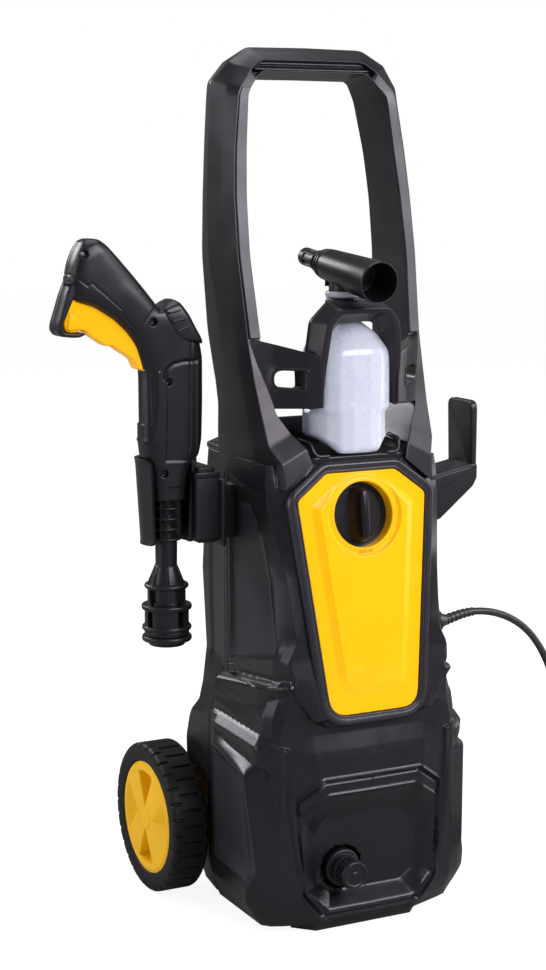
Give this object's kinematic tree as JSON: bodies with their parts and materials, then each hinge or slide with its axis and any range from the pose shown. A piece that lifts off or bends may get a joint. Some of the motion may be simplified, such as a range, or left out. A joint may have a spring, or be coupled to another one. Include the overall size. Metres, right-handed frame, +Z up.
{
  "type": "pressure washer",
  "caption": "Upright electric pressure washer: two-shell body with yellow front panel and switch knob, loop handle, foam bottle, holstered spray gun, wheels and mains cord.",
  "frame": {"origin": "on the floor, on the underside of the foot, in the body's middle plane and its seam plane", "axes": "+Z up, -Y the front with the panel, +X to the right seen from the front"},
  "size_m": [0.639, 0.3173, 0.8],
  "materials": {
    "black_case": "fine satin grain, black",
    "black_gloss": "smooth, glossy black",
    "yellow_plastic": "smooth, semi-gloss warm yellow",
    "yellow_hub": "semi-gloss warm yellow",
    "white_plastic": "milky translucent white",
    "rubber_black": "matt black",
    "tyre_black": "hard black tyre with tread grooves",
    "steel": "plain turned steel",
    "aluminium": "cast",
    "brass": "turned",
    "iron": "laminated",
    "copper_enamel": "enamelled winding",
    "can_paint": "painted steel",
    "grey_plastic": "plain"
  },
  "bodies": {
    "machine": {"front_shell": "black_case", "rear_shell": "black_case", "front_panel": "yellow_plastic", "panel_bezel": "black_gloss", "switch_box": "grey_plastic", "handle_frame": "black_case", "handle_trim": "black_case", "accessory_holder": "black_case", "wheel_axle": "steel", "axle_clips": "steel", "pump_manifold": "aluminium", "pump_pistons": "steel", "piston_springs": "steel", "pump_housing": "aluminium", "pump_bolts": "steel", "unloader_valve": "brass", "motor_can": "can_paint", "stator_core": "iron", "stator_winding": "copper_enamel", "motor_end_cap": "aluminium", "motor_bearings": "steel", "capacitor": "grey_plastic", "outlet_fitting": "brass", "inlet_connector": "black_case", "inlet_filter": "grey_plastic", "base_pan": "grey_plastic", "front_foot": "rubber_black", "gun_holster": "black_case", "holster_bracket": "black_case", "cord_hook": "black_case", "cable_gland": "rubber_black", "case_screws": "steel", "power_cord": "rubber_black", "cord_coil": "rubber_black", "mains_plug": "rubber_black"},
    "knob": {"switch_knob": "black_gloss"},
    "rotor": {"rotor_shaft": "steel", "rotor_core": "iron", "swash_plate": "steel", "cooling_fan": "grey_plastic"},
    "left_wheel": {"left_tyre": "tyre_black", "left_hub": "yellow_hub"},
    "right_wheel": {"right_tyre": "tyre_black", "right_hub": "yellow_hub"},
    "cap": {"outlet_cap": "black_case"},
    "bottle": {"foam_bottle": "white_plastic"},
    "nozzle": {"bottle_collar": "black_case", "foam_nozzle": "black_case"},
    "gun": {"gun_shell_front": "black_case", "gun_shell_back": "black_case", "gun_screws": "steel", "gun_valve": "brass", "gun_pipe": "black_case", "lance_coupling": "black_case", "trigger_spring": "steel"},
    "trigger": {"gun_trigger": "yellow_plastic"},
    "plunger": {"valve_plunger": "steel"},
    "lock": {"trigger_lock": "black_case"}
  },
  "joints": [
    {"name": "switch_turn", "type": "hinge", "parent": "machine", "child": "knob", "pos_m": [0, -0.08586, 0.38137], "axis": [0, -0.9907, 0.1357], "range_deg": [0, 90]},
    {"name": "rotor_spin", "type": "hinge", "parent": "machine", "child": "rotor", "pos_m": [0, -0.015, 0.15], "axis": [0, 0, 1], "continuous": true},
    {"name": "left_wheel_spin", "type": "hinge", "parent": "machine", "child": "left_wheel", "pos_m": [-0.1303, 0.068, 0.072], "axis": [1, 0, 0], "continuous": true},
    {"name": "right_wheel_spin", "type": "hinge", "parent": "machine", "child": "right_wheel", "pos_m": [0.1303, 0.068, 0.072], "axis": [1, 0, 0], "continuous": true},
    {"name": "cap_off", "type": "slide", "parent": "machine", "child": "cap", "axis": [0, -1, 0], "range_m": [0, 0.03]},
    {"name": "bottle_out", "type": "slide", "parent": "machine", "child": "bottle", "axis": [0, 0.7547, 0.6561], "range_m": [0, 0.13]},
    {"name": "nozzle_turn", "type": "hinge", "parent": "bottle", "child": "nozzle", "pos_m": [0, -0.06, 0.58], "axis": [0, 0, 1], "continuous": true},
    {"name": "gun_lift", "type": "slide", "parent": "machine", "child": "gun", "axis": [0, 0, 1], "range_m": [0, 0.34]},
    {"name": "trigger_pull", "type": "hinge", "parent": "gun", "child": "trigger", "pos_m": [-0.167, 0.005, 0.518], "axis": [0, 1, 0], "range_deg": [0, 12], "stiffness_Nm_per_rad": 1.2, "springref_deg": -20.05},
    {"name": "plunger_push", "type": "slide", "parent": "gun", "child": "plunger", "axis": [0, 0, -1], "range_m": [0, 0.005], "deforming": ["trigger_spring"]},
    {"name": "lock_slide", "type": "slide", "parent": "gun", "child": "lock", "axis": [-0.5328, 0, 0.8462], "range_m": [0, 0.004]}
  ],
  "couplings": [
    {"joint": "plunger_push", "follows": "trigger_pull", "m_per_rad": 0.022}
  ]
}
